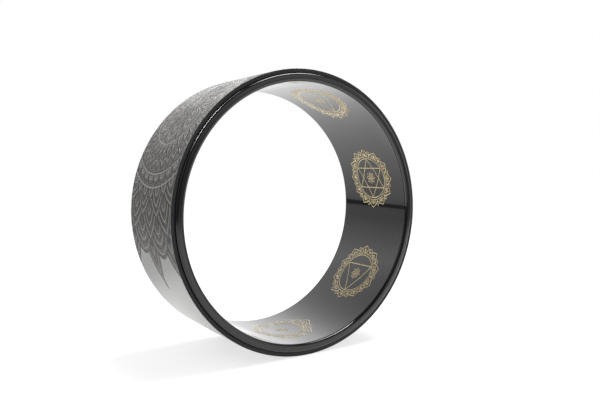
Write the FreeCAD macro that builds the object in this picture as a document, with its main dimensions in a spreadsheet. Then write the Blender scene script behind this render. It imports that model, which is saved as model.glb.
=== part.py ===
import FreeCAD, Part
import math
import os
import Sketcher

# Yoga wheel standing on its tread. The origin is the wheel's centre, Y is its axis,
# the front rim looks along -Y and Z is up. Angles run from +X (three o'clock) towards +Z.

# Driving sizes in millimetres and degrees
SIZES = [
    ("bore_diameter", 301, "inside of the hoop"),
    ("hoop_wall", 9.5, "wall of the hoop"),
    ("hoop_width", 130, "hoop from rim to rim"),
    ("rim_bevel", 1.8, "bevel of the hoop's four edges"),
    ("film_thickness", 0.2, "bonding film between hoop and mat"),
    ("foam_thickness", 3.85, "foam strip of the mat"),
    ("skin_thickness", 0.5, "printed face of the mat"),
    ("glue_line", 0.15, "glue between one layer and the next"),
    ("mat_setback", 3, "mat's edge from the hoop's end"),
    ("seam_gap", 0.4, "between the mat's butted ends"),
    ("seam_angle", 40, "mat's seam above three o'clock"),
    ("first_emblem_angle", 14.6, "first emblem above three o'clock"),
    ("emblem_diameter", 83, "emblem across its petal tips"),
    ("emblem_ring_diameter", 55, "outside of the emblem's ring"),
    ("foil_line", 1.6, "breadth of a line in the foil"),
    ("foil_thickness", 0.15, "foil on the bore"),
    ("petal_share", 0.85, "share of its part of the ring that a petal takes"),
    ("petal_bow", 3, "bend radius of a petal's side over its chord"),
    ("widest_petal", 42, "largest half angle that one petal takes of the ring"),
]
START_SIZES = {alias: value for alias, value, note in SIZES}

# Emblems in order down from three o'clock: petals, bars of the star inside, half angle that a bar spans
EMBLEMS = [
    ("lotus_twelve_petals", 12, 6, 60),
    ("lotus_ten_petals", 10, 3, 60),
    ("lotus_six_petals", 6, 6, 30),
    ("lotus_four_petals", 4, 4, 45),
    ("lotus_twenty_petals", 20, 4, 45),
    ("lotus_two_petals", 2, 3, 60),
    ("lotus_sixteen_petals", 16, 3, 60),
]

# Where each layer starts, worked out from the driving sizes, from the foil outwards
BORE_RADIUS = "Sizes.bore_diameter / 2"
FOIL_RADIUS = f"({BORE_RADIUS} - Sizes.glue_line - Sizes.foil_thickness)"
HOOP_RADIUS = f"({BORE_RADIUS} + Sizes.hoop_wall)"
FILM_RADIUS = f"({HOOP_RADIUS} + Sizes.glue_line)"
FOAM_RADIUS = f"({FILM_RADIUS} + Sizes.film_thickness + Sizes.glue_line)"
SKIN_RADIUS = f"({FOAM_RADIUS} + Sizes.foam_thickness + Sizes.glue_line)"
MAT_WIDTH = "(Sizes.hoop_width - 2 * Sizes.mat_setback)"

# Petals and bars both end inside the line of the emblem's ring, and don't meet there. These are the
# shares of that line which lie outside a petal's root and outside the middle of a bar's end
PETAL_INSET = 0.125
BAR_INSET = 0.625
PETAL_ROOT_RADIUS = f"(Sizes.emblem_ring_diameter / 2 - {PETAL_INSET} * Sizes.foil_line)"
BAR_END_RADIUS = f"(Sizes.emblem_ring_diameter / 2 - {BAR_INSET} * Sizes.foil_line)"

# Sketcher counts its own origin and vertical axis down from -1, and the points of a line or an arc up from 1
ORIGIN, VERTICAL_AXIS = range(-1, -3, -1)
START, END, CENTRE = range(1, 4)

WHEEL_AXIS = FreeCAD.Vector(0, 1, 0)
FULL_TURN = 360

# Anything that a dimension or an expression then brings to size starts at this
ROUGH_SIZE = 1

doc = FreeCAD.newDocument("yoga_wheel")


def add_sizes():
    """The sheet of driving sizes, one named cell each."""
    sheet = doc.addObject("Spreadsheet::Sheet", "Sizes")
    for row, (alias, value, note) in enumerate(SIZES, start=1):
        sheet.set(f"A{row}", note)
        sheet.set(f"B{row}", str(value))
        sheet.setAlias(f"B{row}", alias)
    doc.recompute()
    return sheet


def add_body(name):
    """An empty body for one piece."""
    body = doc.addObject("PartDesign::Body", name)
    body.Label = name
    return body


def turn_piece(piece, degrees_down):
    """Turns a piece about the wheel's axis, from three o'clock down towards six."""
    piece.Placement = FreeCAD.Placement(FreeCAD.Vector(), FreeCAD.Rotation(WHEEL_AXIS, ROUGH_SIZE))
    piece.setExpression("Placement.Rotation.Angle", f"({degrees_down}) * 1 deg")


def add_sketch(body, name):
    """A sketch on the body's own plane across three o'clock: the wheel's axis runs along it, Z is up."""
    plane = next(feature for feature in body.Origin.OriginFeatures if feature.Role == "YZ_Plane")
    sketch = body.newObject("Sketcher::SketchObject", name)
    sketch.AttachmentSupport = [(plane, "")]
    sketch.MapMode = "FlatFace"
    return sketch


def measure(sketch, name, expression, *constraint):
    """A dimension of a sketch, tied to the driving sizes."""
    index = sketch.addConstraint(Sketcher.Constraint(*constraint))
    sketch.renameConstraint(index, name)
    sketch.setExpression(f"Constraints.{name}", expression)


def draw_rectangle(sketch, width, bottom, height):
    """A rectangle centred on the sketch's vertical axis, its lower side at the height bottom."""
    near, far = ROUGH_SIZE, 2 * ROUGH_SIZE
    corners = [FreeCAD.Vector(x, y) for x, y in ((-near, near), (near, near), (near, far), (-near, far))]
    lower, right, upper, left = range(4)
    for side in range(4):
        sketch.addGeometry(Part.LineSegment(corners[side], corners[(side + 1) % 4]))
    for side in range(4):
        sketch.addConstraint(Sketcher.Constraint("Coincident", side, END, (side + 1) % 4, START))
    sketch.addConstraint(Sketcher.Constraint("Symmetric", lower, START, lower, END, VERTICAL_AXIS))
    sketch.addConstraint(Sketcher.Constraint("Horizontal", upper))
    sketch.addConstraint(Sketcher.Constraint("Vertical", right))
    sketch.addConstraint(Sketcher.Constraint("Vertical", left))
    measure(sketch, "width", width, "DistanceX", lower, START, lower, END, far)
    measure(sketch, "bottom", bottom, "DistanceY", ORIGIN, START, lower, START, near)
    measure(sketch, "height", height, "DistanceY", right, START, right, END, near)


def draw_circle(sketch, name, diameter):
    """A circle about the sketch's origin."""
    circle = sketch.addGeometry(Part.Circle(FreeCAD.Vector(), FreeCAD.Vector(0, 0, 1), ROUGH_SIZE))
    sketch.addConstraint(Sketcher.Constraint("Coincident", circle, CENTRE, ORIGIN, START))
    measure(sketch, name, diameter, "Diameter", circle, 2 * ROUGH_SIZE)


def revolve_strip(body, inner_radius, thickness, width):
    """A band round the wheel's axis, revolved from its rectangular section."""
    sketch = add_sketch(body, f"{body.Label}_section")
    draw_rectangle(sketch, width, inner_radius, thickness)
    band = body.newObject("PartDesign::Revolution", f"{body.Label}_band")
    band.Profile = sketch
    band.ReferenceAxis = (sketch, ["H_Axis"])
    band.Angle = FULL_TURN
    doc.recompute()
    return band


def build_hoop():
    """The rigid ring that carries the load, with all four edges bevelled."""
    body = add_body("hoop")
    ring = revolve_strip(body, BORE_RADIUS, "Sizes.hoop_wall", "Sizes.hoop_width")
    edges = enumerate(ring.Shape.Edges, start=1)
    rims = [f"Edge{number}" for number, edge in edges if isinstance(edge.Curve, Part.Circle)]
    bevel = body.newObject("PartDesign::Chamfer", "rim_bevels")
    bevel.Base = (ring, rims)
    bevel.setExpression("Size", "Sizes.rim_bevel")
    return body


def build_mat_layer(name, inner_radius, thickness):
    """One layer of the mat: a strip wrapped once round the hoop, its ends butted at the seam."""
    body = add_body(name)
    revolve_strip(body, inner_radius, thickness, MAT_WIDTH)
    sketch = add_sketch(body, f"{name}_seam_outline")
    draw_rectangle(sketch, "Sizes.hoop_width", "-Sizes.seam_gap / 2", "Sizes.seam_gap")
    seam = body.newObject("PartDesign::Pocket", f"{name}_seam")
    seam.Profile = sketch
    seam.Type = "ThroughAll"
    seam.Reversed = True
    turn_piece(body, "-Sizes.seam_angle")
    return body


def add_foil_pad(body, sketch, name):
    """Raises a flat outline on both sides of the bore's tangent plane, past the bore's sagitta."""
    sketch.setExpression("AttachmentOffset.Base.z", BORE_RADIUS)
    pad = body.newObject("PartDesign::Pad", name)
    pad.Profile = sketch
    pad.Midplane = True
    pad.setExpression("Length", "Sizes.emblem_diameter")
    doc.recompute()
    return pad


def repeat_round_emblem(body, pad, sketch, name, count):
    """Copies a petal or a bar round the emblem's own centre."""
    pattern = body.newObject("PartDesign::PolarPattern", name)
    pattern.Originals = [pad]
    pattern.Axis = (sketch, ["N_Axis"])
    pattern.Angle = FULL_TURN
    pattern.Occurrences = count
    body.Tip = pattern
    doc.recompute()


def rough_petal(petals):
    """A petal at the starting sizes: the right end of its root, the middle of its right side, and its tip."""
    half_angle = math.radians(min(START_SIZES["petal_share"] * 180 / petals, START_SIZES["widest_petal"]))
    root_radius = START_SIZES["emblem_ring_diameter"] / 2 - PETAL_INSET * START_SIZES["foil_line"]
    root_end = FreeCAD.Vector(root_radius * math.sin(half_angle), root_radius * math.cos(half_angle))
    tip = FreeCAD.Vector(0, START_SIZES["emblem_diameter"] / 2)
    chord = tip - root_end
    bow = FreeCAD.Vector(chord.y, -chord.x) * (1 / (8 * START_SIZES["petal_bow"]))
    return root_end, (root_end + tip) * 0.5 + bow, tip


def mirrored(point):
    """The same point on the other side of a sketch's vertical axis."""
    return FreeCAD.Vector(-point.x, point.y)


def draw_petal(sketch, petals):
    """A pointed petal: a root that follows the emblem's ring and two bowed sides that meet at the tip."""
    half_angle = f"min(Sizes.petal_share * 180 / {petals}, Sizes.widest_petal) * 1 deg"
    half_width = f"{PETAL_ROOT_RADIUS} * sin({half_angle})"
    root_height = f"{PETAL_ROOT_RADIUS} * cos({half_angle})"
    tip_height = "Sizes.emblem_diameter / 2"
    chord = f"sqrt(({half_width}) ^ 2 + ({tip_height} - {root_height}) ^ 2)"

    # A rough petal, which the dimensions below then hold
    root_end, side_middle, tip = rough_petal(petals)
    right_angle = math.atan2(root_end.y, root_end.x)
    side_bend = START_SIZES["petal_bow"] * (tip - root_end).Length
    root_circle = Part.Circle(FreeCAD.Vector(), FreeCAD.Vector(0, 0, 1), root_end.Length)
    root = sketch.addGeometry(Part.ArcOfCircle(root_circle, right_angle, math.pi - right_angle))
    right = sketch.addGeometry(Part.Arc(root_end, side_middle, tip))
    left = sketch.addGeometry(Part.Arc(tip, mirrored(side_middle), mirrored(root_end)))
    sketch.addConstraint(Sketcher.Constraint("Coincident", root, CENTRE, ORIGIN, START))
    sketch.addConstraint(Sketcher.Constraint("Symmetric", root, START, root, END, VERTICAL_AXIS))
    sketch.addConstraint(Sketcher.Constraint("Coincident", root, START, right, START))
    sketch.addConstraint(Sketcher.Constraint("Coincident", right, END, left, START))
    sketch.addConstraint(Sketcher.Constraint("Coincident", left, END, root, END))
    sketch.addConstraint(Sketcher.Constraint("PointOnObject", right, END, VERTICAL_AXIS))
    sketch.addConstraint(Sketcher.Constraint("Equal", left, right))
    measure(sketch, "root_radius", PETAL_ROOT_RADIUS, "Radius", root, root_end.Length)
    measure(sketch, "root_width", f"2 * {half_width}", "DistanceX", root, END, root, START, 2 * root_end.x)
    measure(sketch, "tip_height", tip_height, "DistanceY", ORIGIN, START, right, END, tip.y)
    measure(sketch, "side_bend", f"Sizes.petal_bow * {chord}", "Radius", right, side_bend)


def build_foil_layer():
    """The thin layer on the bore that every emblem is cut from."""
    layer = add_body("foil_layer")
    revolve_strip(layer, FOIL_RADIUS, "Sizes.foil_thickness", "Sizes.hoop_width")
    return layer


def build_emblem(name, petals, bars, bar_half_angle, foil_layer, place):
    """A lotus emblem cut from foil: a ring, petals outside it and a star of bars inside it."""
    body = add_body(f"{name}_outline")

    ring_sketch = add_sketch(body, f"{name}_ring_outline")
    draw_circle(ring_sketch, "ring_outside", "Sizes.emblem_ring_diameter")
    draw_circle(ring_sketch, "ring_inside", "Sizes.emblem_ring_diameter - 2 * Sizes.foil_line")
    add_foil_pad(body, ring_sketch, f"{name}_ring")

    petal_sketch = add_sketch(body, f"{name}_petal_outline")
    draw_petal(petal_sketch, petals)
    petal = add_foil_pad(body, petal_sketch, f"{name}_petal")
    repeat_round_emblem(body, petal, ring_sketch, f"{name}_petals", petals)

    bar_sketch = add_sketch(body, f"{name}_bar_outline")
    bar_length = f"2 * {BAR_END_RADIUS} * sin({bar_half_angle} deg)"
    bar_distance = f"{BAR_END_RADIUS} * cos({bar_half_angle} deg) - Sizes.foil_line / 2"
    draw_rectangle(bar_sketch, bar_length, bar_distance, "Sizes.foil_line")
    bar = add_foil_pad(body, bar_sketch, f"{name}_bar")
    repeat_round_emblem(body, bar, ring_sketch, f"{name}_star", bars)

    # Part's own intersection follows the bore at every size, where a feature loses some of the outlines
    emblem = doc.addObject("Part::Feature", name)
    emblem.Label = name
    emblem.Shape = body.Shape.common(foil_layer.Shape)
    turn_piece(emblem, f"{place} * {FULL_TURN} / {len(EMBLEMS)} - Sizes.first_emblem_angle")
    return emblem


def check_document(pieces):
    """Stops if any feature failed or any piece has no sound solid."""
    for item in doc.Objects:
        if "Invalid" in item.State or "Error" in item.State:
            raise RuntimeError(f"{item.Name} failed: {item.State}")
    for piece in pieces:
        if piece.Shape.isNull() or not piece.Shape.isValid() or len(piece.Shape.Solids) != 1:
            raise RuntimeError(f"{piece.Label} isn't one sound solid")


def write_pieces(pieces):
    """One STEP file for each piece, named after it."""
    os.makedirs("parts", exist_ok=True)
    for piece in pieces:
        piece.Shape.exportStep(f"parts/{piece.Label}.step")
        print(f"{piece.Label}: {len(piece.Shape.Solids)} solid, {piece.Shape.Volume:.0f} mm3")


add_sizes()
pieces = [
    build_hoop(),
    build_mat_layer("bond_film", FILM_RADIUS, "Sizes.film_thickness"),
    build_mat_layer("foam_pad", FOAM_RADIUS, "Sizes.foam_thickness"),
    build_mat_layer("printed_skin", SKIN_RADIUS, "Sizes.skin_thickness"),
]
foil_layer = build_foil_layer()
for place, emblem in enumerate(EMBLEMS):
    pieces.append(build_emblem(*emblem, foil_layer, place))
doc.recompute()
check_document(pieces)
write_pieces(pieces)
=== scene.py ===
import math

import bpy
from mathutils import Matrix, Vector


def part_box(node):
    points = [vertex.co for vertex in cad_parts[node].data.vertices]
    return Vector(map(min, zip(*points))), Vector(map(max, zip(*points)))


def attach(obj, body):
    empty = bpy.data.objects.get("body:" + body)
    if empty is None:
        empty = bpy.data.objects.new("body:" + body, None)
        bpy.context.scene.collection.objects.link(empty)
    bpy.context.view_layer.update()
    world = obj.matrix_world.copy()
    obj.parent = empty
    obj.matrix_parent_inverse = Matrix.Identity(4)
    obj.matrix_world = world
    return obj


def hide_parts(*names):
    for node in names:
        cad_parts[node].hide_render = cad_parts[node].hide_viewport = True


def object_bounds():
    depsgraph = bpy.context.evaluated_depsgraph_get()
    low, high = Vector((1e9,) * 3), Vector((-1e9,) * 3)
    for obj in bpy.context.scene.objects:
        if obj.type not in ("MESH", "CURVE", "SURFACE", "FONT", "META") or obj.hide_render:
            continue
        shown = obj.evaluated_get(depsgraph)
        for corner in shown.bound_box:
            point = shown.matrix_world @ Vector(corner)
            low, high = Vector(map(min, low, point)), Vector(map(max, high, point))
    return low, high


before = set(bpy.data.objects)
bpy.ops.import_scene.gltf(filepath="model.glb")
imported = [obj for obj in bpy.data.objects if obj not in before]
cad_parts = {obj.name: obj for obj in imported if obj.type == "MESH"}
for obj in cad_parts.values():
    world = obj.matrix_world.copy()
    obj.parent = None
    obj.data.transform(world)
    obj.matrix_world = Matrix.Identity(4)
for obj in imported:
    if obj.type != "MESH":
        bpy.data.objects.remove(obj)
cad_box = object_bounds()

# The yoga wheel stands on its tread. Y is its axis, Z is up, and the front rim looks along -Y.
# Angles run from +X (three o'clock, seen from the front) towards +Z. Lengths are metres.

MM = 0.001
TURN = 2 * math.pi

# Kinds of socket and of node
FLOAT = "NodeSocketFloat"
WHOLE = "NodeSocketInt"
FINISH = "NodeSocketMaterial"
SHAPE = "NodeSocketGeometry"
GROUP = "GeometryNodeGroup"
MATH = "ShaderNodeMath"
MIX = "ShaderNodeMix"
RAMP = "ShaderNodeMapRange"
NOISE = "ShaderNodeTexNoise"

# Sockets of the Mix node, where names repeat: its factor, its numbers, its colours and the mixed colour
FACTOR = 0
FIRST_NUMBER = 2
SECOND_NUMBER = 3
FIRST_COLOUR = 6
SECOND_COLOUR = 7
MIXED_COLOUR = 2


def radii(node):
    """The smallest and largest distance of a CAD node from the wheel's axis."""
    reach = [math.hypot(vertex.co.x, vertex.co.z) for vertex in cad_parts[node].data.vertices]
    return min(reach), max(reach)


def half_width(node):
    """How far a CAD node reaches along the wheel's axis."""
    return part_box(node)[1].y


def place_on_bore(node):
    """The angle at which an emblem sits on the bore."""
    low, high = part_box(node)
    return math.atan2(low.z + high.z, low.x + high.x)


# Sizes of the hoop and mat, from the frame
BORE_RADIUS, HOOP_RADIUS = radii("hoop")
FILM_RADIUS = radii("bond_film")[1]
TREAD_RADIUS = radii("printed_skin")[1]
HOOP_HALF_WIDTH = half_width("hoop")
MAT_HALF_WIDTH = half_width("foam_pad")

# Edges and seam. The bore's lacquer ends at a share of the rounding of its edge.
RIM_ROUNDING = 2.8 * MM
BORE_EDGE_ROUNDING = 3.9 * MM
LACQUERED_SHARE = 0.3
FOAM_ROUNDING = 0.7 * MM
SKIN_ROUNDING = 0.12 * MM
SKIN_THICKNESS = 0.3 * MM
SKIN_RADIUS = TREAD_RADIUS - SKIN_THICKNESS
FILM_SETBACK = 1.2 * MM
SKIN_SEAM = 0.5 * MM
FOAM_SEAM = 0.06 * MM
SEAM_ANGLE = math.radians(40)
STEPS_AROUND = 288
STEPS_PER_EDGE = 8

# Weighted normals: the most weight that wide faces can have, and how near two areas count as the same
FLATS_WEIGHT = 100
FLATS_TOLERANCE = 1e-6

# Emblems: CAD node, petals, bars of the star inside, half angle that a bar spans
EMBLEMS = [
    ("lotus_twelve_petals", 12, 6, 60),
    ("lotus_ten_petals", 10, 3, 60),
    ("lotus_six_petals", 6, 6, 30),
    ("lotus_four_petals", 4, 4, 45),
    ("lotus_twenty_petals", 20, 4, 45),
    ("lotus_two_petals", 2, 3, 60),
    ("lotus_sixteen_petals", 16, 3, 60),
]
EMBLEM_RADIUS = max(half_width(node) for node, *_ in EMBLEMS)
EMBLEM_RING_RADIUS = 27.5 * MM
STAR_CLEARANCE = 0.5 * MM
STAR_RADIUS = EMBLEM_RING_RADIUS - STAR_CLEARANCE
RING_SPACING = 2.7 * MM
LOTUS_ROOT = EMBLEM_RING_RADIUS + RING_SPACING
LOTUS_REACH = EMBLEM_RADIUS - LOTUS_ROOT
WIDEST_PETAL = math.radians(42)

# Foil lines of three kinds, which differ in thickness so that no faces lie in one plane where kinds cross
FOIL_THICKNESS = 0.06 * MM
FOIL_LINE = 1.15 * MM
PLAIN_FOIL = {"Line": FOIL_LINE, "Thickness": FOIL_THICKNESS}
STAR_FOIL = {"Line": 1.2 * MM, "Thickness": 1.1 * FOIL_THICKNESS}
FINE_FOIL = {"Line": 0.7 * FOIL_LINE, "Thickness": 0.9 * FOIL_THICKNESS}

# What an emblem is drawn with, as inputs of the trees below. Its petals are the outer ones, those inside
# them and those between them.
LOTUS_PETALS = [
    PLAIN_FOIL | {"Tip Radius": EMBLEM_RADIUS - FOIL_LINE / 2,
                  "Share": 1, "Belly": 1.6, "Point": 1.4, "Turn": 0},
    FINE_FOIL | {"Tip Radius": LOTUS_ROOT + 0.55 * LOTUS_REACH,
                 "Share": 0.6, "Belly": 0.9, "Point": 1.1, "Turn": 0},
    FINE_FOIL | {"Tip Radius": LOTUS_ROOT + 0.8 * LOTUS_REACH,
                 "Share": 0.75, "Belly": 1.4, "Point": 1.3, "Turn": 0.5},
]
LOTUS_DROPS = [
    {"Radius": LOTUS_ROOT + 0.26 * LOTUS_REACH, "Bead Radius": 1.5 * MM, "Turn": 0},
    {"Radius": LOTUS_ROOT + 0.4 * LOTUS_REACH, "Bead Radius": 1.0 * MM, "Turn": 0.5},
]
DROP_STRETCH = 1.8
LOTUS_CIRCLES = [PLAIN_FOIL | {"Radius": EMBLEM_RING_RADIUS}, FINE_FOIL | {"Radius": LOTUS_ROOT}]
LOTUS_CIRCLE_STEPS = 96
ROSETTE = FINE_FOIL | {"Petals": 8, "Root Radius": 1.6 * MM, "Tip Radius": 0.3 * EMBLEM_RING_RADIUS,
                       "Share": 0.9, "Belly": 0.9, "Point": 1, "Turn": 0}
ROSETTE_MIDDLE = {"Beads": 1, "Bead Radius": 1.2 * MM, "Stretch": 1, "Thickness": FOIL_THICKNESS}

# Mandala printed twice on the tread, each about its own centre. A ring of petals is: how many, root
# radius, tip radius, outlines inside each other, turn as a share of one petal, share of its step that a
# petal takes, how far it bellies out, and how finely it ends. A ring of beads is: how many, radius. Radii
# are millimetres.
MANDALA_ANGLES = [math.radians(130), math.radians(310)]
MANDALA_PETALS = [
    (8, 4, 19, 2, 0, 0.96, 1.2, 0.9),
    (8, 21, 61, 6, 0, 0.84, 1.7, 0.75),
    (8, 42, 60, 2, 0.5, 0.1, 8, 0.8),
    (40, 63, 77, 2, 0.5, 0.9, 1.0, 0.7),
    (40, 76, 92, 3, 0, 0.9, 1.2, 0.9),
    (40, 98, 108, 2, 0.5, 0.9, 1.4, 0.6),
    (40, 113, 128, 2, 0, 0.9, 1.2, 1.0),
    (20, 117, 148, 6, 0.5, 0.96, 1.0, 1.1),
    (20, 134, 172, 6, 0, 0.98, 1.1, 1.1),
    (20, 150, 190, 7, 0.5, 0.78, 2.0, 0.75),
]
MANDALA_PENDANT = (20, 152, 219, 6, 0, 0.9, 0.4, 1.0)
MANDALA_STEM = (20, 212, 229, 1, 0, 0.05, 0, 0.5)
MANDALA_CIRCLES = [20, 61.5, 94.5, 97, 109.8, 112.3]
MANDALA_BEADS = [
    (40, 67), (40, 82), (80, 95.8), (80, 111), (20, 124), (40, 100.8), (40, 174), (20, 165.7), (20, 187.3),
]
INK_BEAD = {"Bead Radius": 1.1 * MM, "Stretch": 1.2, "Turn": 0.5}
CIRCLE_STEPS_PER_MM = 3

# The innermost of the outlines in a petal gets more room than one spacing, by this share of it
INNERMOST_ROOM = 0.4

# Steps at which an outline is tested for petals in front of it, and the most of it that they may hide
HIDING_STEPS = 400
MOST_HIDDEN = 0.97

# The mandala's ground is a disc of sectors: petals that fill their step and don't taper
MANDALA_GROUND_RADIUS = 160 * MM
GROUND_SECTORS = {"Petals": 36, "Share": 1, "Belly": 0, "Point": 0}

# Ink
DARK_LINE = 1.5 * MM
PALE_LINE = 0.7 * DARK_LINE
INK_THICKNESS = 0.05 * MM
INK_GROUND_LIFT = 0.03 * MM
INK_LINE_LIFT = 0.05 * MM

# The print stops short of the mat's edges. Faces past this share of its half width are cut off.
PRINT_MARGIN = 0.25 * MM
CUT_OFF_SHARE = 0.9999


def add(tree, kind, inputs=None, **settings):
    """Adds a node with its settings. An input is a value, a socket that feeds it or a list of sockets."""
    node = tree.nodes.new(kind)
    for name, value in settings.items():
        setattr(node, name, value)
    for key, value in (inputs or {}).items():
        if isinstance(value, list):
            for socket in value:
                tree.links.new(socket, node.inputs[key])
        elif isinstance(value, bpy.types.NodeSocket):
            tree.links.new(value, node.inputs[key])
        else:
            node.inputs[key].default_value = value
    return node.outputs


def new_tree(name, sizes):
    """An empty tree of geometry nodes with named inputs."""
    tree = bpy.data.node_groups.new(name, "GeometryNodeTree")
    for label, kind in sizes.items():
        tree.interface.new_socket(label, in_out="INPUT", socket_type=kind)
    tree.interface.new_socket("Shape", in_out="OUTPUT", socket_type=SHAPE)
    return tree, add(tree, "NodeGroupInput")


def finish_tree(tree, shape, finish, part=None, part_finish=None):
    """Ends a tree: real geometry with its material on it, and another material on a selected part."""
    real = add(tree, "GeometryNodeRealizeInstances", {"Geometry": shape})[0]
    smooth = add(tree, "GeometryNodeSetShadeSmooth", {"Geometry": real})[0]
    dressed = add(tree, "GeometryNodeSetMaterial", {"Geometry": smooth, "Material": finish})[0]
    if part is not None:
        selected = {"Geometry": dressed, "Selection": part, "Material": part_finish}
        dressed = add(tree, "GeometryNodeSetMaterial", selected)[0]
    add(tree, "NodeGroupOutput", {"Shape": dressed})


def make_piece(name, tree, sizes, keep_flats=False):
    """A plain mesh made by a tree with the given sizes. Wide flats can keep their own normals."""
    piece = bpy.data.objects.new(name, bpy.data.meshes.new(name))
    bpy.context.collection.objects.link(piece)
    form = piece.modifiers.new("form", "NODES")
    form.node_group = tree
    for socket in tree.interface.items_tree:
        if socket.in_out == "INPUT":
            form[socket.identifier] = sizes[socket.name]
    if keep_flats:
        normals = piece.modifiers.new("flats", "WEIGHTED_NORMAL")
        normals.weight = FLATS_WEIGHT
        normals.thresh = FLATS_TOLERANCE
        normals.keep_sharp = True
    evaluated = piece.evaluated_get(bpy.context.evaluated_depsgraph_get())
    mesh = bpy.data.meshes.new_from_object(evaluated)
    piece.modifiers.clear()
    piece.data = mesh
    mesh.name = name
    return piece


def settle(piece, slot, *nodes):
    """Every piece rides on the wheel's one body, and the CAD nodes given are hidden. The slot is not used.
    """
    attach(piece, "root")
    if nodes:
        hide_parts(*nodes)


# Trees of the hoop and mat

def band_tree():
    """A rounded section swept round the wheel's axis, as a closed ring or as a strip up to a seam."""
    tree, size = new_tree("turned_band", {
        "Inner Radius": FLOAT, "Outer Radius": FLOAT, "Half Width": FLOAT, "Rounding": FLOAT,
        "Inner Rounding": FLOAT, "Seam Gap": FLOAT, "Seam Angle": FLOAT, "Finish": FINISH,
        "Inside Finish": FINISH,
    })
    wall = add(tree, MATH, {0: size["Outer Radius"], 1: size["Inner Radius"]}, operation="SUBTRACT")[0]
    width = add(tree, MATH, {0: size["Half Width"], 1: 2}, operation="MULTIPLY")[0]
    section = add(tree, "GeometryNodeCurvePrimitiveQuadrilateral", {"Width": wall, "Height": width})[0]
    corner = add(tree, "GeometryNodeInputPosition")[0]
    outwards = add(tree, "ShaderNodeSeparateXYZ", {"Vector": corner})["X"]
    is_inner = add(tree, MATH, {0: outwards, 1: 0}, operation="LESS_THAN")[0]
    roundings = {FIRST_NUMBER: size["Rounding"], SECOND_NUMBER: size["Inner Rounding"]}
    rounding = add(tree, MIX, {FACTOR: is_inner} | roundings)[0]
    rounded = add(tree, "GeometryNodeFilletCurve",
                  {"Curve": section, "Radius": rounding, "Count": STEPS_PER_EDGE}, mode="POLY")[0]
    middle = add(tree, MATH, {0: wall, 1: 0.5, 2: size["Inner Radius"]}, operation="MULTIPLY_ADD")[0]
    circle = add(tree, "GeometryNodeCurvePrimitiveCircle",
                 {"Resolution": STEPS_AROUND, "Radius": middle})[0]
    gap_angle = add(tree, MATH, {0: size["Seam Gap"], 1: middle}, operation="DIVIDE")[0]
    sweep = add(tree, MATH, {0: TURN, 1: gap_angle}, operation="SUBTRACT")[0]
    start = add(tree, MATH, {0: gap_angle, 1: 0.5, 2: size["Seam Angle"]}, operation="MULTIPLY_ADD")[0]
    arc = add(tree, "GeometryNodeCurveArc", {
        "Resolution": STEPS_AROUND + 1, "Radius": middle, "Start Angle": start, "Sweep Angle": sweep,
    })[0]
    has_seam = add(tree, MATH, {0: size["Seam Gap"], 1: 0}, operation="GREATER_THAN")[0]
    path = add(tree, "GeometryNodeSwitch", {"Switch": has_seam, "False": circle, "True": arc})[0]
    band = add(tree, "GeometryNodeCurveToMesh",
               {"Curve": path, "Profile Curve": rounded, "Fill Caps": True})[0]
    upright = add(tree, "GeometryNodeTransform", {"Geometry": band, "Rotation": (TURN / 4, 0, 0)})[0]
    place = add(tree, "GeometryNodeInputPosition")[0]
    across = add(tree, "ShaderNodeVectorMath", {0: place, 1: (1, 0, 1)}, operation="MULTIPLY")[0]
    radius = add(tree, "ShaderNodeVectorMath", {0: across}, operation="LENGTH")["Value"]
    edge = add(tree, MATH, {0: size["Inner Rounding"], 1: LACQUERED_SHARE, 2: size["Inner Radius"]},
               operation="MULTIPLY_ADD")[0]
    inside = add(tree, MATH, {0: radius, 1: edge}, operation="LESS_THAN")[0]
    finish_tree(tree, upright, size["Finish"], inside, size["Inside Finish"])
    return tree


# Trees of the ornament, drawn flat about a centre: X runs round the wheel and Y along its axis

PETAL_SIZES = {
    "Petals": WHOLE, "Root Radius": FLOAT, "Tip Radius": FLOAT, "Share": FLOAT,
    "Belly": FLOAT, "Point": FLOAT, "Turn": FLOAT,
}
LINE_SIZES = {"Line": FLOAT, "Thickness": FLOAT}
PETAL_STEPS = 14
SHEET_STEPS = 3 * PETAL_STEPS
TIP_FINENESS = 1.5
BEAD_SIDES = 10
WELD = 0.001 * MM


def line_of(size):
    """The breadth and thickness of a tree's lines, to hand on to a tree inside it."""
    return {name: size[name] for name in LINE_SIZES}


def repeat_tree():
    """Copies a shape round the ornament's centre, the first copy turned by a share of one step."""
    tree, size = new_tree("repeat_round_centre", {"Copied": SHAPE, "Copies": WHOLE, "Turn": FLOAT})
    number = add(tree, "GeometryNodeInputIndex")[0]
    turned = add(tree, MATH, {0: number, 1: size["Turn"]}, operation="ADD")[0]
    step = add(tree, MATH, {0: TURN, 1: size["Copies"]}, operation="DIVIDE")[0]
    angle = add(tree, MATH, {0: turned, 1: step}, operation="MULTIPLY")[0]
    rotation = add(tree, "ShaderNodeCombineXYZ", {"Z": angle})[0]
    places = add(tree, "GeometryNodePoints", {"Count": size["Copies"]})[0]
    copies = add(tree, "GeometryNodeInstanceOnPoints",
                 {"Points": places, "Instance": size["Copied"], "Rotation": rotation})[0]
    real = add(tree, "GeometryNodeRealizeInstances", {"Geometry": copies})[0]
    add(tree, "NodeGroupOutput", {"Shape": real})
    return tree


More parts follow.
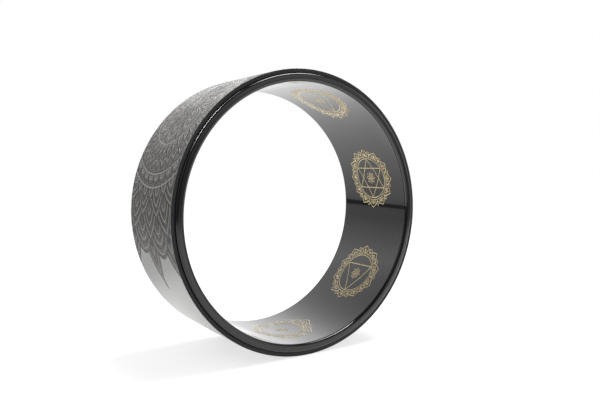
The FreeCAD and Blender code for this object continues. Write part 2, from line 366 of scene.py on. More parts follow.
def petal_point(tree, size, across, along):
    """Where a point of a petal lies: across runs from -1 to 1 between its sides, along from 0 to 1."""
    step = add(tree, MATH, {0: math.pi, 1: size["Petals"]}, operation="DIVIDE")[0]
    share = add(tree, MATH, {0: step, 1: size["Share"]}, operation="MULTIPLY")[0]
    widest = add(tree, MATH, {0: share, 1: WIDEST_PETAL}, operation="MINIMUM")[0]
    left = add(tree, MATH, {0: 1, 1: along}, operation="SUBTRACT")[0]
    taper = add(tree, MATH, {0: left, 1: size["Point"]}, operation="POWER")[0]
    belly = add(tree, MATH, {0: along, 1: size["Belly"], 2: 1}, operation="MULTIPLY_ADD")[0]
    breadth = add(tree, MATH, {0: taper, 1: belly}, operation="MULTIPLY")[0]
    half_angle = add(tree, MATH, {0: breadth, 1: widest}, operation="MULTIPLY")[0]
    angle = add(tree, MATH, {0: half_angle, 1: across}, operation="MULTIPLY")[0]
    ends = {"To Min": size["Root Radius"], "To Max": size["Tip Radius"]}
    radius = add(tree, RAMP, {"Value": along} | ends)[0]
    axis_point = add(tree, "ShaderNodeCombineXYZ", {"X": radius})[0]
    turned = {"Vector": axis_point, "Axis": (0, 0, 1), "Angle": angle}
    return add(tree, "ShaderNodeVectorRotate", turned)[0]


def petal_line_tree(repeat, stroke):
    """A ring of petals in outline. Each is one line up to the tip and back, from its root or from where
    it comes out behind other petals."""
    tree, size = new_tree("petal_outlines", PETAL_SIZES | LINE_SIZES | {"Hidden": FLOAT})
    straight = add(tree, "GeometryNodeCurvePrimitiveLine", {"End": (1, 0, 0)})[0]
    points = add(tree, "GeometryNodeResampleCurve", {"Curve": straight, "Count": 2 * PETAL_STEPS + 1})[0]
    factor = add(tree, "GeometryNodeSplineParameter")["Factor"]
    side = add(tree, MATH, {0: factor, 1: 2, 2: -1}, operation="MULTIPLY_ADD")[0]
    across = add(tree, MATH, {0: side}, operation="SIGN")[0]
    from_tip = add(tree, MATH, {0: side}, operation="ABSOLUTE")[0]
    finer_at_tip = add(tree, MATH, {0: from_tip, 1: TIP_FINENESS}, operation="POWER")[0]
    unseen = add(tree, MATH, {0: size["Hidden"], 1: 1}, operation="SUBTRACT")[0]
    along = add(tree, MATH, {0: finer_at_tip, 1: unseen, 2: 1}, operation="MULTIPLY_ADD")[0]
    place = petal_point(tree, size, across, along)
    outline = add(tree, "GeometryNodeSetPosition", {"Geometry": points, "Position": place})[0]
    ring = add(tree, GROUP, {"Copied": outline, "Copies": size["Petals"], "Turn": size["Turn"]},
               node_tree=repeat)[0]
    drawn = add(tree, GROUP, {"Path": ring} | line_of(size), node_tree=stroke)[0]
    add(tree, "NodeGroupOutput", {"Shape": drawn})
    return tree


def petal_fill_tree(repeat):
    """A ring of filled petals, each a fine sheet so that it can follow a curved wall."""
    tree, size = new_tree("petal_fills", PETAL_SIZES)
    sheet = add(tree, "GeometryNodeMeshGrid",
                {"Size X": 2, "Size Y": 1, "Vertices X": PETAL_STEPS, "Vertices Y": SHEET_STEPS})[0]
    flat = add(tree, "GeometryNodeInputPosition")[0]
    spot = add(tree, "ShaderNodeSeparateXYZ", {"Vector": flat})
    along = add(tree, MATH, {0: spot["Y"], 1: 0.5}, operation="ADD")[0]
    place = petal_point(tree, size, spot["X"], along)
    bent = add(tree, "GeometryNodeSetPosition", {"Geometry": sheet, "Position": place})[0]
    pointed = add(tree, "GeometryNodeMergeByDistance", {"Geometry": bent, "Distance": WELD})[0]
    petal = add(tree, "GeometryNodeFlipFaces", {"Mesh": pointed})[0]
    ring = add(tree, GROUP, {"Copied": petal, "Copies": size["Petals"], "Turn": size["Turn"]},
               node_tree=repeat)[0]
    add(tree, "NodeGroupOutput", {"Shape": ring})
    return tree


def stroke_tree():
    """Gives a drawn line its breadth and thickness."""
    tree, size = new_tree("stroke", {"Path": SHAPE} | LINE_SIZES)
    section = add(tree, "GeometryNodeCurvePrimitiveQuadrilateral",
                  {"Width": size["Line"], "Height": size["Thickness"]})[0]
    line = add(tree, "GeometryNodeCurveToMesh",
               {"Curve": size["Path"], "Profile Curve": section, "Fill Caps": True})[0]
    add(tree, "NodeGroupOutput", {"Shape": line})
    return tree


def circle_tree(stroke):
    """A circle about the ornament's centre."""
    tree, size = new_tree("circle_line", {"Radius": FLOAT, "Steps": WHOLE} | LINE_SIZES)
    path = add(tree, "GeometryNodeCurvePrimitiveCircle",
               {"Resolution": size["Steps"], "Radius": size["Radius"]})[0]
    drawn = add(tree, GROUP, {"Path": path} | line_of(size), node_tree=stroke)[0]
    add(tree, "NodeGroupOutput", {"Shape": drawn})
    return tree


def bead_tree(repeat):
    """A ring of round or drop-shaped beads."""
    tree, size = new_tree("bead_ring", {
        "Beads": WHOLE, "Radius": FLOAT, "Bead Radius": FLOAT, "Stretch": FLOAT, "Turn": FLOAT,
        "Thickness": FLOAT,
    })
    bead = add(tree, "GeometryNodeMeshCylinder", {
        "Vertices": BEAD_SIDES, "Radius": size["Bead Radius"], "Depth": size["Thickness"],
    })["Mesh"]
    stretch = add(tree, "ShaderNodeCombineXYZ", {"X": size["Stretch"], "Y": 1, "Z": 1})[0]
    shift = add(tree, "ShaderNodeCombineXYZ", {"X": size["Radius"]})[0]
    placed = add(tree, "GeometryNodeTransform",
                 {"Geometry": bead, "Translation": shift, "Scale": stretch})[0]
    ring = add(tree, GROUP, {"Copied": placed, "Copies": size["Beads"], "Turn": size["Turn"]},
               node_tree=repeat)[0]
    add(tree, "NodeGroupOutput", {"Shape": ring})
    return tree


def star_tree(repeat, stroke):
    """A star of straight bars, each a chord of the emblem's ring."""
    bar_sizes = {"Bars": WHOLE, "Distance": FLOAT, "Half Length": FLOAT}
    tree, size = new_tree("star_of_bars", bar_sizes | LINE_SIZES)
    back = add(tree, MATH, {0: size["Half Length"], 1: -1}, operation="MULTIPLY")[0]
    start = add(tree, "ShaderNodeCombineXYZ", {"X": size["Distance"], "Y": back})[0]
    end = add(tree, "ShaderNodeCombineXYZ", {"X": size["Distance"], "Y": size["Half Length"]})[0]
    bar = add(tree, "GeometryNodeCurvePrimitiveLine", {"Start": start, "End": end})[0]
    points = add(tree, "GeometryNodeResampleCurve", {"Curve": bar, "Count": PETAL_STEPS})[0]
    ring = add(tree, GROUP, {"Copied": points, "Copies": size["Bars"]}, node_tree=repeat)[0]
    drawn = add(tree, GROUP, {"Path": ring} | line_of(size), node_tree=stroke)[0]
    add(tree, "NodeGroupOutput", {"Shape": drawn})
    return tree


def wrap_tree():
    """Lays a flat ornament on a round wall. Outward is 1 on the tread and -1 in the bore."""
    tree, size = new_tree("wrap_on_wall",
                          {"Flat": SHAPE, "Radius": FLOAT, "Angle": FLOAT, "Outward": FLOAT})
    flat = add(tree, "GeometryNodeInputPosition")[0]
    spot = add(tree, "ShaderNodeSeparateXYZ", {"Vector": flat})
    along = add(tree, MATH, {0: spot["X"], 1: size["Radius"]}, operation="DIVIDE")[0]
    signed = add(tree, MATH, {0: along, 1: size["Outward"]}, operation="MULTIPLY")[0]
    angle = add(tree, MATH, {0: size["Angle"], 1: signed}, operation="SUBTRACT")[0]
    reach = add(tree, MATH, {0: spot["Z"], 1: size["Outward"], 2: size["Radius"]},
                operation="MULTIPLY_ADD")[0]
    unturned = add(tree, "ShaderNodeCombineXYZ", {"X": reach, "Y": spot["Y"]})[0]
    place = add(tree, "ShaderNodeVectorRotate",
                {"Vector": unturned, "Axis": (0, -1, 0), "Angle": angle})[0]
    wrapped = add(tree, "GeometryNodeSetPosition", {"Geometry": size["Flat"], "Position": place})[0]
    add(tree, "NodeGroupOutput", {"Shape": wrapped})
    return tree


def trim_tree():
    """Cuts a flat ornament off at the mat's edges: what lies past them is squeezed there and deleted."""
    tree, size = new_tree("trim_to_mat", {"Flat": SHAPE, "Half Width": FLOAT})
    flat = add(tree, "GeometryNodeInputPosition")[0]
    spot = add(tree, "ShaderNodeSeparateXYZ", {"Vector": flat})
    lowest = add(tree, MATH, {0: size["Half Width"], 1: -1}, operation="MULTIPLY")[0]
    inside = add(tree, "ShaderNodeClamp",
                 {"Value": spot["Y"], "Min": lowest, "Max": size["Half Width"]})[0]
    place = add(tree, "ShaderNodeCombineXYZ", {"X": spot["X"], "Y": inside, "Z": spot["Z"]})[0]
    squeezed = add(tree, "GeometryNodeSetPosition", {"Geometry": size["Flat"], "Position": place})[0]
    distance = add(tree, MATH, {0: spot["Y"]}, operation="ABSOLUTE")[0]
    limit = add(tree, MATH, {0: size["Half Width"], 1: CUT_OFF_SHARE}, operation="MULTIPLY")[0]
    outside = add(tree, MATH, {0: distance, 1: limit}, operation="GREATER_THAN")[0]
    kept = add(tree, "GeometryNodeDeleteGeometry",
               {"Geometry": squeezed, "Selection": outside}, domain="FACE")[0]
    add(tree, "NodeGroupOutput", {"Shape": kept})
    return tree


REPEAT = repeat_tree()
STROKE = stroke_tree()
PETAL_LINES = petal_line_tree(REPEAT, STROKE)
PETAL_FILLS = petal_fill_tree(REPEAT)
CIRCLE = circle_tree(STROKE)
BEADS = bead_tree(REPEAT)
STAR = star_tree(REPEAT, STROKE)
WRAP = wrap_tree()
TRIM = trim_tree()


def emblem_tree():
    """A lotus emblem in foil: petals round a double ring, a star in it and a rosette at the centre."""
    tree, size = new_tree("lotus_emblem", {
        "Petals": WHOLE, "Bars": WHOLE, "Bar Distance": FLOAT, "Bar Half Length": FLOAT,
        "Angle": FLOAT, "Finish": FINISH,
    })
    lotus = {"Petals": size["Petals"], "Root Radius": LOTUS_ROOT}
    drop = {"Beads": size["Petals"], "Stretch": DROP_STRETCH, "Thickness": FOIL_THICKNESS}
    star = {"Bars": size["Bars"], "Distance": size["Bar Distance"],
            "Half Length": size["Bar Half Length"]}
    drawn = [(PETAL_LINES, lotus | petals) for petals in LOTUS_PETALS]
    drawn += [(PETAL_LINES, ROSETTE)]
    drawn += [(CIRCLE, circle | {"Steps": LOTUS_CIRCLE_STEPS}) for circle in LOTUS_CIRCLES]
    drawn += [(BEADS, drop | ring) for ring in LOTUS_DROPS]
    drawn += [(BEADS, ROSETTE_MIDDLE), (STAR, star | STAR_FOIL)]
    shapes = [add(tree, GROUP, sizes, node_tree=inner)[0] for inner, sizes in drawn]
    flat = add(tree, "GeometryNodeJoinGeometry", {"Geometry": shapes})[0]
    wall = {"Radius": BORE_RADIUS - FOIL_THICKNESS / 2, "Angle": size["Angle"], "Outward": -1}
    wrapped = add(tree, GROUP, {"Flat": flat} | wall, node_tree=WRAP)[0]
    finish_tree(tree, wrapped, size["Finish"])
    return tree


def nested_outlines(count, root, tip, outlines, turn, share, belly, point):
    """The sizes of petals drawn inside each other, from the outermost inwards."""
    for number in range(outlines):
        left = 1 - number / (outlines + INNERMOST_ROOM)
        yield {"Petals": count, "Root Radius": root * MM,
               "Tip Radius": (root + (tip - root) * left) * MM,
               "Share": share * left, "Belly": belly, "Point": point, "Turn": turn}


def petal_half_angle(petal, along):
    """Half of the angle that a petal takes, at a share of its length from the root."""
    widest = petal["Share"] * math.pi / petal["Petals"]
    return widest * (1 - along) ** petal["Point"] * (1 + petal["Belly"] * along)


def is_covered(angle, radius, petal):
    """True at places of the mandala that a ring of such petals covers."""
    step = TURN / petal["Petals"]
    aside = (angle - petal["Turn"] * step + step / 2) % step - step / 2
    along = (radius - petal["Root Radius"]) / (petal["Tip Radius"] - petal["Root Radius"])
    return 0 <= along <= 1 and abs(aside) < petal_half_angle(petal, along)


def hidden_share(petal, petals_in_front):
    """The share of a petal's length, from its root, over which other petals cover its outline."""
    length = petal["Tip Radius"] - petal["Root Radius"]
    axis = petal["Turn"] * TURN / petal["Petals"]
    for step in range(HIDING_STEPS, -1, -1):
        along = step / HIDING_STEPS
        angle = axis + petal_half_angle(petal, along)
        radius = petal["Root Radius"] + along * length
        if any(is_covered(angle, radius, front) for front in petals_in_front):
            return along
    return 0


def visible_outlines(first):
    """Every second outline of the mandala's petals, from the first one given. Each ring of petals lies
    behind those before it."""
    petals_in_front = []
    for ring in MANDALA_PETALS + [MANDALA_PENDANT, MANDALA_STEM]:
        outlines = list(nested_outlines(*ring))
        for petal in outlines[first::2]:
            hidden = hidden_share(petal, petals_in_front)
            if hidden < MOST_HIDDEN:
                yield petal | {"Hidden": hidden}
        petals_in_front.append(outlines[0])


def print_on_tread(tree, shapes, lift, finish):
    """Trims flat shapes to the mat's edges, lays them on both sides of the tread and ends the tree."""
    flat = add(tree, "GeometryNodeJoinGeometry", {"Geometry": shapes})[0]
    trimmed = add(tree, GROUP, {"Flat": flat, "Half Width": MAT_HALF_WIDTH - PRINT_MARGIN},
                  node_tree=TRIM)[0]
    wall = {"Flat": trimmed, "Radius": TREAD_RADIUS + lift, "Outward": 1}
    laid = [add(tree, GROUP, wall | {"Angle": angle}, node_tree=WRAP)[0] for angle in MANDALA_ANGLES]
    finish_tree(tree, add(tree, "GeometryNodeJoinGeometry", {"Geometry": laid})[0], finish)


def mandala_line_tree(name, first):
    """Every second outline, circle and ring of beads of the mandala, from the first one given."""
    tree, size = new_tree(name, LINE_SIZES | {"Finish": FINISH})
    line = line_of(size)
    shapes = []
    for petal in visible_outlines(first):
        shapes.append(add(tree, GROUP, petal | line, node_tree=PETAL_LINES)[0])
    for radius in MANDALA_CIRCLES[first::2]:
        circle = {"Radius": radius * MM, "Steps": int(radius) * CIRCLE_STEPS_PER_MM}
        shapes.append(add(tree, GROUP, circle | line, node_tree=CIRCLE)[0])
    for count, radius in MANDALA_BEADS[first::2]:
        beads = INK_BEAD | {"Beads": count, "Radius": radius * MM, "Thickness": size["Thickness"]}
        shapes.append(add(tree, GROUP, beads, node_tree=BEADS)[0])
    print_on_tread(tree, shapes, INK_LINE_LIFT, size["Finish"])
    return tree


def mandala_ground_tree():
    """The mandala's darker ground: a disc, the two outer rings of petals and the pendants."""
    tree, size = new_tree("mandala_ground", {"Ground Radius": FLOAT, "Finish": FINISH})
    disc = GROUND_SECTORS | {"Tip Radius": size["Ground Radius"]}
    shapes = [add(tree, GROUP, disc, node_tree=PETAL_FILLS)[0]]
    for ring in MANDALA_PETALS[-2:] + [MANDALA_PENDANT]:
        outermost = next(nested_outlines(*ring))
        shapes.append(add(tree, GROUP, outermost, node_tree=PETAL_FILLS)[0])
    print_on_tread(tree, shapes, INK_GROUND_LIFT, size["Finish"])
    return tree


# Materials

# Handling rubs some patches of the plastic glossier and scuffs others, to these shares of its roughness
HANDLING_MARK = 25 * MM
RUBBED = 0.8
SCUFFED = 1.25

# Sizes of the other patterns. Real foam cells are about 0.3 mm across and the pebble on the mat's face
# about 0.5 mm. Both are drawn at 0.9 mm so that they show.
ORANGE_PEEL = 1.2 * MM
FOAM_CELL = 0.9 * MM
FOAM_BLOOM = 14 * MM
FACE_PEBBLE = 0.9 * MM
FACE_MOTTLE = 9 * MM
FOIL_PATCH = 6 * MM
FILM_PATCH = 5 * MM


def hex_colour(code):
    """An sRGB hex colour as the linear colour that a shader takes."""
    channels = [int(code[place:place + 2], 16) / 255 for place in (0, 2, 4)]
    linear = [(c / 12.92) if c <= 0.04045 else ((c + 0.055) / 1.055) ** 2.4 for c in channels]
    return (*linear, 1)


def new_material(name):
    """An empty material with its shader and output in place."""
    material = bpy.data.materials.new(name)
    material.use_nodes = True
    tree = material.node_tree
    tree.nodes.clear()
    shader = tree.nodes.new("ShaderNodeBsdfPrincipled")
    add(tree, "ShaderNodeOutputMaterial", {"Surface": shader.outputs[0]})
    return material, tree, shader


def mottle(tree, shader, place, patch, detail, colours):
    """Gives a surface soft patches of two colours, of about the given size. Returns their pattern."""
    pattern = add(tree, NOISE, {"Vector": place, "Scale": 1 / patch, "Detail": detail})["Fac"]
    first, second = colours
    mixed = add(tree, MIX, {FACTOR: pattern, FIRST_COLOUR: first, SECOND_COLOUR: second},
                data_type="RGBA")[MIXED_COLOUR]
    tree.links.new(mixed, shader.inputs["Base Color"])
    return pattern


def abs_surface(name, roughness, peel_strength):
    """Black ABS with handling marks that vary its gloss and a faint orange peel from the mould."""
    material, tree, shader = new_material(name)
    shader.inputs["Base Color"].default_value = hex_colour("19191B")
    place = add(tree, "ShaderNodeTexCoord")["Object"]
    handling = add(tree, NOISE, {"Vector": place, "Scale": 1 / HANDLING_MARK, "Detail": 4})["Fac"]
    dull = add(tree, RAMP,
               {"Value": handling, "To Min": RUBBED * roughness, "To Max": SCUFFED * roughness})[0]
    tree.links.new(dull, shader.inputs["Roughness"])
    peel = add(tree, NOISE, {"Vector": place, "Scale": 1 / ORANGE_PEEL, "Detail": 2})["Fac"]
    bump = add(tree, "ShaderNodeBump",
               {"Height": peel, "Strength": peel_strength, "Distance": 0.1 * MM})[0]
    tree.links.new(bump, shader.inputs["Normal"])
    return material, shader


def polished_abs():
    """The bore: black ABS under a clear lacquer, which mirrors the room and goes white at low angles."""
    material, shader = abs_surface("lacquered_black_abs", roughness=0.09, peel_strength=0.01)
    shader.inputs["Coat Weight"].default_value = 1
    shader.inputs["Coat Roughness"].default_value = 0.04
    return material


def satin_abs():
    """The rims and the outside of the hoop: moulded black ABS, less glossy and a little less smooth."""
    return abs_surface("moulded_black_abs", roughness=0.12, peel_strength=0.03)[0]


def closed_cell_foam():
    """Black closed-cell foam cut with a knife: dull, with fine pores and a greyer bloom in patches."""
    material, tree, shader = new_material("closed_cell_foam")
    place = add(tree, "ShaderNodeTexCoord")["Object"]
    blacks = [hex_colour("252627"), hex_colour("303132")]
    mottle(tree, shader, place, patch=FOAM_BLOOM, detail=4, colours=blacks)
    shader.inputs["Roughness"].default_value = 0.85
    cells = add(tree, "ShaderNodeTexVoronoi", {"Vector": place, "Scale": 1 / FOAM_CELL})["Distance"]
    pores = add(tree, "ShaderNodeBump", {"Height": cells, "Strength": 0.35, "Distance": 0.2 * MM})[0]
    tree.links.new(pores, shader.inputs["Normal"])
    return material


def satin_surface(name, colour, spread, roughness):
    """What the mat's face and the inks on it share: a mottled colour and the face's fine pebble."""
    material, tree, shader = new_material(name)
    place = add(tree, "ShaderNodeTexCoord")["Object"]
    dark = hex_colour(colour)
    pale = tuple(min(1, channel * spread) for channel in dark[:3]) + (1,)
    mottle(tree, shader, place, patch=FACE_MOTTLE, detail=5, colours=[dark, pale])
    shader.inputs["Roughness"].default_value = roughness
    pebble = add(tree, "ShaderNodeTexVoronoi", {"Vector": place, "Scale": 1 / FACE_PEBBLE})["Distance"]
    bump = add(tree, "ShaderNodeBump", {"Height": pebble, "Strength": 0.12, "Distance": 0.1 * MM})[0]
    tree.links.new(bump, shader.inputs["Normal"])
    return material


def grey_polyurethane():
    """Satin polyurethane film on the mat: mid grey, soft sheen, a fine pebble that breaks highlights."""
    return satin_surface("satin_grey_polyurethane", "9E9E9B", spread=1.12, roughness=0.24)


def print_ink(name, colour):
    """Screen-printed grey ink: it takes the film's pebble and is a little duller than the bare film."""
    return satin_surface(name, colour, spread=1.25, roughness=0.25)


def gold_foil():
    """Hot-stamped gold foil: half metal and half gold pigment, with a soft gloss and faint patches where
    it took unevenly, under the same clear lacquer as the bore, which pales it at a glancing look."""
    material, tree, shader = new_material("stamped_gold_foil")
    place = add(tree, "ShaderNodeTexCoord")["Object"]
    golds = [hex_colour("EACD80"), hex_colour("FAE8B8")]
    patches = mottle(tree, shader, place, patch=FOIL_PATCH, detail=3, colours=golds)
    shader.inputs["Metallic"].default_value = 0.5
    dull = add(tree, RAMP, {"Value": patches, "To Min": 0.22, "To Max": 0.34})[0]
    tree.links.new(dull, shader.inputs["Roughness"])
    shader.inputs["Coat Weight"].default_value = 1
    shader.inputs["Coat Roughness"].default_value = 0.05
    return material


def acrylic_film():
    """Clear acrylic bonding film, which reads as a dark grey line between the hoop and the foam."""
    material, tree, shader = new_material("acrylic_bonding_film")
    place = add(tree, "ShaderNodeTexCoord")["Object"]
    greys = [hex_colour("242424"), hex_colour("303030")]
    mottle(tree, shader, place, patch=FILM_PATCH, detail=2, colours=greys)
    shader.inputs["Roughness"].default_value = 0.6
    return material


# The pieces

def build_hoop_and_mat():
    """The hoop and the three layers wrapped round it."""
    tree = band_tree()
    ring = make_piece("hoop_ring", tree, {
        "Inner Radius": BORE_RADIUS, "Outer Radius": HOOP_RADIUS, "Half Width": HOOP_HALF_WIDTH,
        "Rounding": RIM_ROUNDING, "Inner Rounding": BORE_EDGE_ROUNDING,
        "Seam Gap": 0.0, "Seam Angle": 0.0,
        "Finish": satin_abs(), "Inside Finish": polished_abs(),
    }, keep_flats=True)
    settle(ring, "abs_black", "hoop")

    layers = [
        ("bonding_film", "bonding_film", "bond_film", acrylic_film(), {
            "Inner Radius": HOOP_RADIUS, "Outer Radius": FILM_RADIUS,
            "Half Width": MAT_HALF_WIDTH - FILM_SETBACK, "Rounding": 0.0, "Seam Gap": FOAM_SEAM,
        }),
        ("foam_wrap", "foam_black", "foam_pad", closed_cell_foam(), {
            "Inner Radius": FILM_RADIUS, "Outer Radius": SKIN_RADIUS,
            "Half Width": MAT_HALF_WIDTH, "Rounding": FOAM_ROUNDING, "Seam Gap": FOAM_SEAM,
        }),
        ("satin_skin", "printed_polyurethane", "printed_skin", grey_polyurethane(), {
            "Inner Radius": SKIN_RADIUS, "Outer Radius": TREAD_RADIUS,
            "Half Width": MAT_HALF_WIDTH, "Rounding": SKIN_ROUNDING, "Seam Gap": SKIN_SEAM,
        }),
    ]
    for name, slot, node, finish, sizes in layers:
        layer = make_piece(name, tree, sizes | {
            "Inner Rounding": sizes["Rounding"], "Seam Angle": SEAM_ANGLE,
            "Finish": finish, "Inside Finish": finish,
        }, keep_flats=True)
        settle(layer, slot, node)


def build_print():
    """The mandala on the tread: its darker ground first, then dark lines and pale ones in turn."""
    ground = make_piece("mandala_ground", mandala_ground_tree(), {
        "Ground Radius": MANDALA_GROUND_RADIUS, "Finish": print_ink("mid_grey_ink", "494643"),
    })
    settle(ground, "printed_polyurethane")
    inks = [("mandala_dark_lines", 0, print_ink("dark_grey_ink", "12100F"), DARK_LINE),
            ("mandala_pale_lines", 1, print_ink("pale_grey_ink", "A09B95"), PALE_LINE)]
    for name, first, ink, breadth in inks:
        lines = make_piece(name, mandala_line_tree(name, first), {
            "Line": breadth, "Thickness": INK_THICKNESS, "Finish": ink,
        })
        settle(lines, "printed_polyurethane")


def build_emblems():
    """Seven foil emblems on the bore, each where its CAD node is."""
    tree = emblem_tree()
    foil = gold_foil()
    for node, petals, bars, half_angle in EMBLEMS:
        chord = math.radians(half_angle)
        emblem = make_piece(f"{node}_foil", tree, {
            "Petals": petals, "Bars": bars,
            "Bar Distance": STAR_RADIUS * math.cos(chord),
            "Bar Half Length": STAR_RADIUS * math.sin(chord),
            "Angle": place_on_bore(node), "Finish": foil,
        })
        settle(emblem, "gold_foil", node)


# The studio

CAMERA_PLACE = Vector((-0.3976, -0.6605, 0.0618))
CAMERA_AZIMUTH = math.radians(-32.98)
CAMERA_ELEVATION = math.radians(3.65)
CAMERA_LENS = 37.6
CAMERA_SENSOR = 36
CAMERA_NEAREST = 0.01

# What reflections show of the room, as ramps along an axis of the direction that they look in. It
# brightens upwards on the left and on the right, is dim beside the camera apart from a bright band on the
# right, and fades overhead. Low on the far left lies the dark gap past the end of the floor.
ROOM_RAMPS = {
    "rightness": ("X", {"From Min": -0.35, "From Max": 0.35}),
    "left_light": ("Z", {"From Min": 0.05, "From Max": 0.45, "To Min": 0.4, "To Max": 0.9}),
    "right_light": ("Z", {"From Min": -0.05, "From Max": 0.15, "To Min": 0.95, "To Max": 1.15}),
    "beside_camera": ("X", {"From Min": -0.3, "From Max": 0.7, "To Min": 0.03, "To Max": 0.34}),
    "band_rising": ("Z", {"From Max": 0.25, "To Max": 2}),
    "band_falling": ("Z", {"From Min": 0.3, "From Max": 0.45, "To Min": 1, "To Max": 0}),
    "band_right": ("X", {"From Min": -0.1, "From Max": 0.3}),
    "overhead": ("Z", {"From Min": 0.42, "From Max": 0.66, "To Min": 1, "To Max": 0.5}),
    "ceiling": ("Z", {"From Min": 0.68, "From Max": 0.8, "To Min": 1, "To Max": 0.12}),
    "far_left": ("X", {"From Min": -0.3, "From Max": -0.5, "To Min": 0, "To Max": 0.9}),
}
FRONT_TO_BACK = {"From Min": -0.5, "From Max": 0, "To Max": 1}
GAP_TOP = -0.065
GAP_LIGHT = 0.03
SURROUND_LIGHT = 0.58

# The floor glows where it is seen and lights the wheel. In reflections it is brighter near the front and
# to the right.
FLOOR_LEVEL = cad_box[0].z
FLOOR_REACH = 1.5
FLOOR_SIDES = 48
FLOOR_GLOW = 0.68
FLOOR_BOUNCE = 0.3
FLOOR_NEAR = {"From Min": 0.28, "From Max": 0.15, "To Max": 0.6}
FLOOR_RIGHT = {"From Min": -0.2, "From Max": 0.3, "To Min": 0.08, "To Max": 0.46}

SOFTBOX = {"length": 1.0, "breadth": 0.6, "power": 22}
SOFTBOX_PLACE = (0.5, -0.02, 1.4)
SOFTBOX_TURN = math.radians(26)

# The strip lamps draw the bright line on the upper left of the rim. The back lamp makes the top of the
# mat shine.
UPPER_LEFT_RIM = Vector((-0.125, -0.065, 0.095))
TOP_OF_MAT = Vector((-0.06, 0, 0.16))
MAT_PIECES = ["satin_skin", "mandala_ground", "mandala_dark_lines", "mandala_pale_lines"]
GLOSS_LAMPS = [
    {"name": "strip_lamp", "breadth": 0.14, "power": 10,
     "first_end": Vector((-0.53, 0.06, 1.2)), "second_end": Vector((-1.0, 0.03, 0.9)),
     "target": UPPER_LEFT_RIM, "lit": ["hoop_ring"]},
    {"name": "strip_lamp_glow", "breadth": 0.14, "power": 5.5,
     "first_end": Vector((-0.19, 0.08, 1.3)), "second_end": Vector((-1.08, 0.01, 0.78)),
     "target": UPPER_LEFT_RIM, "lit": ["hoop_ring"]},
    {"name": "back_lamp", "breadth": 0.5, "power": 0.75,
     "first_end": Vector((0.2, 1.85, 0.85)), "second_end": Vector((1.0, 1.7, 0.75)),
     "target": TOP_OF_MAT, "lit": MAT_PIECES},
]


def place_camera():
    """The photograph's own view: from the front left and a little above the axis."""
    camera = bpy.data.objects.new("camera", bpy.data.cameras.new("camera"))
    bpy.context.collection.objects.link(camera)
    camera.data.lens = CAMERA_LENS
    camera.data.sensor_width = CAMERA_SENSOR
    camera.data.sensor_fit = "HORIZONTAL"
    camera.data.clip_start = CAMERA_NEAREST
    camera.location = CAMERA_PLACE
    camera.rotation_euler = (math.pi / 2 - CAMERA_ELEVATION, 0, CAMERA_AZIMUTH)
    bpy.context.scene.camera = camera


def seen_directly(tree, ray):
    """1 for what the camera sees, also through something clear, and 0 for mirrored and bounced light."""
    return add(tree, MATH, {0: ray["Is Camera Ray"], 1: ray["Is Transmission Ray"]},
               operation="MAXIMUM")[0]


def light_surround():
    """A white room: white to the camera, softer on matt surfaces, and in reflections bright behind the
    wheel, dim beside the camera and dark past the end of the white floor on the left."""
    world = bpy.data.worlds.new("white_room")
    bpy.context.scene.world = world
    world.use_nodes = True
    tree = world.node_tree
    tree.nodes.clear()
    ray = add(tree, "ShaderNodeLightPath")
    direction = add(tree, "ShaderNodeTexCoord")["Generated"]
    towards = add(tree, "ShaderNodeSeparateXYZ", {"Vector": direction})
    ramp = {name: add(tree, RAMP, {"Value": towards[axis]} | limits)[0]
            for name, (axis, limits) in ROOM_RAMPS.items()}

    sides = {FIRST_NUMBER: ramp["left_light"], SECOND_NUMBER: ramp["right_light"]}
    side = add(tree, MIX, {FACTOR: ramp["rightness"]} | sides)[0]
    depth = add(tree, RAMP, {"Value": towards["Y"], "To Min": ramp["beside_camera"]} | FRONT_TO_BACK)[0]
    behind = add(tree, MATH, {0: side, 1: depth}, operation="MULTIPLY")[0]
    band = add(tree, MATH, {0: ramp["band_rising"], 1: ramp["band_falling"]}, operation="MULTIPLY")[0]
    strip = add(tree, MATH, {0: band, 1: ramp["band_right"]}, operation="MULTIPLY")[0]
    front = add(tree, MATH, {0: 1, 1: depth}, operation="SUBTRACT")[0]
    bright = add(tree, MATH, {0: strip, 1: front, 2: behind}, operation="MULTIPLY_ADD")[0]
    above = add(tree, MATH, {0: ramp["overhead"], 1: ramp["ceiling"]}, operation="MULTIPLY")[0]
    room_light = add(tree, MATH, {0: bright, 1: above}, operation="MULTIPLY")[0]
    low = add(tree, MATH, {0: towards["Z"], 1: GAP_TOP}, operation="LESS_THAN")[0]
    gap = add(tree, MATH, {0: low, 1: ramp["far_left"]}, operation="MULTIPLY")[0]
    mirrored = add(tree, MIX, {FACTOR: gap, FIRST_NUMBER: room_light, SECOND_NUMBER: GAP_LIGHT})[0]

    indirect = {FIRST_NUMBER: SURROUND_LIGHT, SECOND_NUMBER: mirrored}
    shown = add(tree, MIX, {FACTOR: ray["Is Glossy Ray"]} | indirect)[0]
    seen = seen_directly(tree, ray)
    strength = add(tree, MIX, {FACTOR: seen, FIRST_NUMBER: shown, SECOND_NUMBER: 1})[0]
    room = add(tree, "ShaderNodeBackground", {"Color": (1, 1, 1, 1), "Strength": strength})[0]
    add(tree, "ShaderNodeOutputWorld", {"Surface": room})


def new_lamp(name, length, breadth, power):
    """A long lamp with an even face, not yet in its place."""
    lamp = bpy.data.lights.new(name, "AREA")
    lamp.shape = "RECTANGLE"
    lamp.size = length
    lamp.size_y = breadth
    lamp.energy = power
    hung = bpy.data.objects.new(name, lamp)
    bpy.context.collection.objects.link(hung)
    return hung


def hang_softbox():
    """A soft lamp overhead, which draws the thin highlights on the rims."""
    softbox = new_lamp("overhead_softbox", **SOFTBOX)
    softbox.location = SOFTBOX_PLACE
    softbox.rotation_euler = (0, 0, SOFTBOX_TURN)


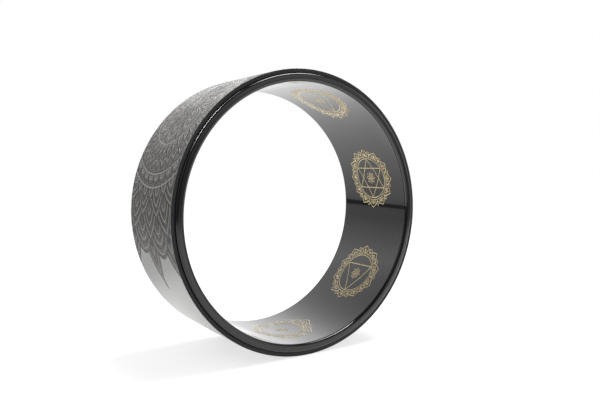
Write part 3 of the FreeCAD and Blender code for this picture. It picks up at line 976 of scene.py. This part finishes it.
def hang_gloss_lamp(name, first_end, second_end, breadth, power, target, lit):
    """A lamp that faces its target and only shows in the gloss of the pieces that it lights."""
    middle = (first_end + second_end) / 2
    along = (second_end - first_end).normalized()
    away = (middle - target).normalized()
    hung = new_lamp(name, (second_end - first_end).length, breadth, power)
    turned = Matrix((along, away.cross(along), away)).transposed().to_4x4()
    hung.matrix_world = Matrix.Translation(middle) @ turned
    hung.visible_camera = False
    hung.visible_diffuse = False
    receivers = bpy.data.collections.new(f"lit_by_{name}")
    for piece in lit:
        receivers.objects.link(bpy.data.objects[piece])
    hung.light_linking.receiver_collection = receivers


def white_paper():
    """The floor's white paper: matt, with one glow where it is seen and another in reflections."""
    material = bpy.data.materials.new("white_paper_sweep")
    material.use_nodes = True
    tree = material.node_tree
    tree.nodes.clear()
    paper = add(tree, "ShaderNodeBsdfDiffuse", {"Color": hex_colour("C3C3C3")})[0]
    ray = add(tree, "ShaderNodeLightPath")
    place = add(tree, "ShaderNodeTexCoord")["Object"]
    spot = add(tree, "ShaderNodeSeparateXYZ", {"Vector": place})
    near = add(tree, RAMP, {"Value": spot["Y"]} | FLOOR_NEAR)[0]
    rightwards = add(tree, RAMP, {"Value": spot["X"]} | FLOOR_RIGHT)[0]
    brighter = add(tree, MATH, {0: near, 1: rightwards}, operation="ADD")[0]
    bounced = add(tree, MATH, {0: ray["Is Diffuse Ray"], 1: FLOOR_BOUNCE}, operation="MULTIPLY")[0]
    mirrored = add(tree, MATH, {0: ray["Is Glossy Ray"], 1: brighter, 2: bounced},
                   operation="MULTIPLY_ADD")[0]
    glow = add(tree, MATH, {0: seen_directly(tree, ray), 1: FLOOR_GLOW, 2: mirrored},
               operation="MULTIPLY_ADD")[0]
    lit = add(tree, "ShaderNodeEmission", {"Color": (1, 1, 1, 1), "Strength": glow})[0]
    both = add(tree, "ShaderNodeAddShader", {0: paper, 1: lit})[0]
    add(tree, "ShaderNodeOutputMaterial", {"Surface": both})
    return material


def lay_floor():
    """A round pale floor that looks white and keeps the wheel's soft shadow."""
    angles = [TURN * side / FLOOR_SIDES for side in range(FLOOR_SIDES)]
    corners = [(FLOOR_REACH * math.cos(angle), FLOOR_REACH * math.sin(angle)) for angle in angles]
    mesh = bpy.data.meshes.new("floor")
    mesh.from_pydata([(x, y, FLOOR_LEVEL) for x, y in corners], [], [range(FLOOR_SIDES)])
    floor = bpy.data.objects.new("floor", mesh)
    bpy.context.collection.objects.link(floor)
    mesh.materials.append(white_paper())


build_hoop_and_mat()
build_print()
build_emblems()
place_camera()
light_surround()
hang_softbox()
for gloss_lamp in GLOSS_LAMPS:
    hang_gloss_lamp(**gloss_lamp)
lay_floor()
bpy.context.scene.view_settings.view_transform = "Standard"
